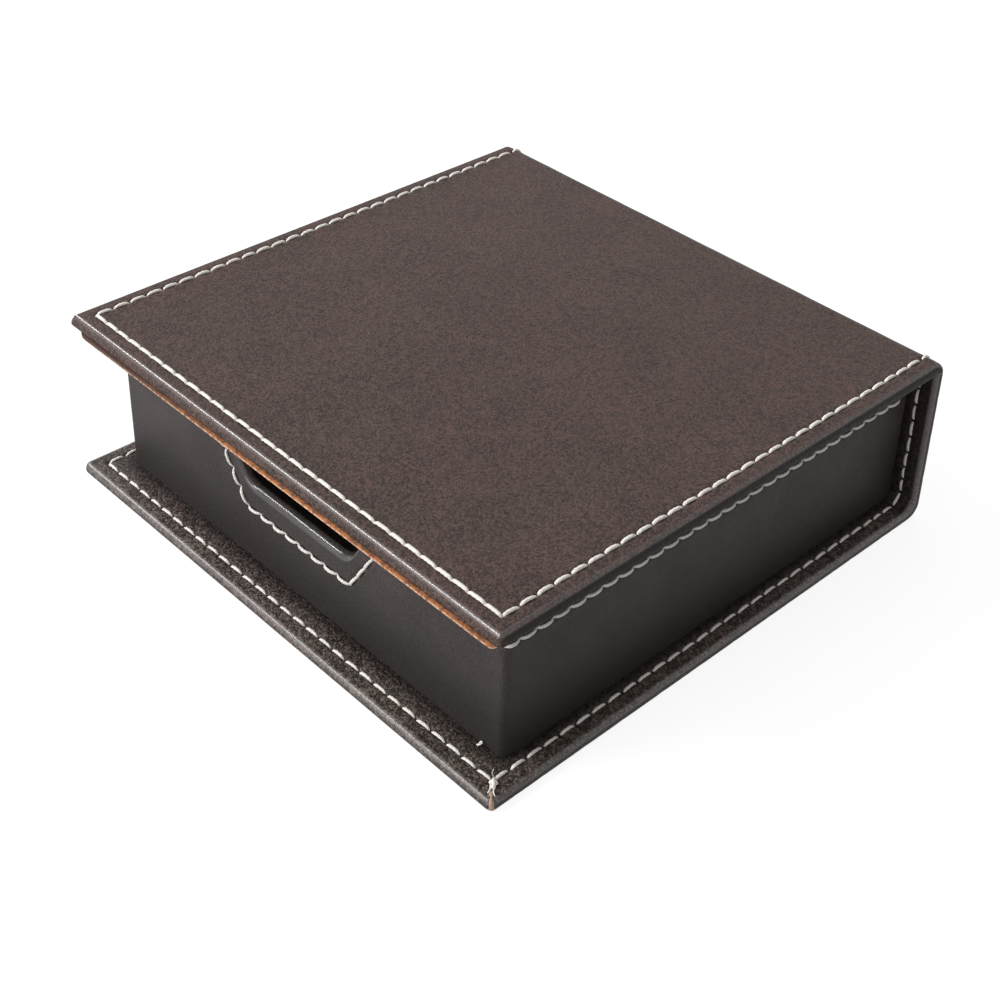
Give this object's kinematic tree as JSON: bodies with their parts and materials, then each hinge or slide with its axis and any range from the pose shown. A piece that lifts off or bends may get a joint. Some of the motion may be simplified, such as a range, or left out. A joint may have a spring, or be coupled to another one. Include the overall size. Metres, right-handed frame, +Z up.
{
  "type": "sticky note holder",
  "caption": "Book-style sticky note box: a stitched leather case with a hinged lid over a lined note tray that has a thumb notch in its front wall.",
  "frame": {"origin": "on the desk, under the middle of the closed case", "axes": "+X to the right seen from the front, along the front edge; +Y from the front edge with the thumb notch to the spine; +Z up"},
  "size_m": [0.125, 0.12, 0.038],
  "materials": {
    "case_leather": "dark brown imitation leather, fine pebble grain, satin",
    "tray_leather": "dark brown imitation leather, finer grain, satin",
    "lid_lining": "tan bonded leather sheet, matt, raw cut front edge",
    "well_lining": "dark brown flocked lining, matt",
    "thread": "off-white waxed sewing thread",
    "board": "grey-brown bookbinder's board, matt"
  },
  "bodies": {
    "case": {"hinge_leather": "case_leather", "hinge_thread": "thread", "spine_cover": "case_leather", "spine_board": "board", "spine_thread_inner": "thread", "spine_thread_outer": "thread", "base_cover": "case_leather", "base_board": "board", "base_thread_upper": "thread", "base_thread_lower": "thread", "tray_front_board": "board", "tray_rear_board": "board", "tray_left_board": "board", "tray_right_board": "board", "tray_wrap": "tray_leather", "notch_facing": "tray_leather", "tray_front_lining": "well_lining", "tray_rear_lining": "well_lining", "tray_left_lining": "well_lining", "tray_right_lining": "well_lining", "tray_floor_lining": "well_lining", "tray_thread_outer": "thread", "tray_thread_inner": "thread"},
    "lid": {"lid_cover": "case_leather", "lid_board": "board", "lid_lining": "lid_lining", "lid_thread_upper": "thread", "lid_thread_lower": "thread"}
  },
  "joints": [
    {"name": "lid_hinge", "type": "hinge", "parent": "case", "child": "lid", "pos_m": [0, 0.0591, 0.0369], "axis": [-1, 0, 0], "range_deg": [0, 197], "deforming": ["hinge_leather", "hinge_thread"]}
  ]
}
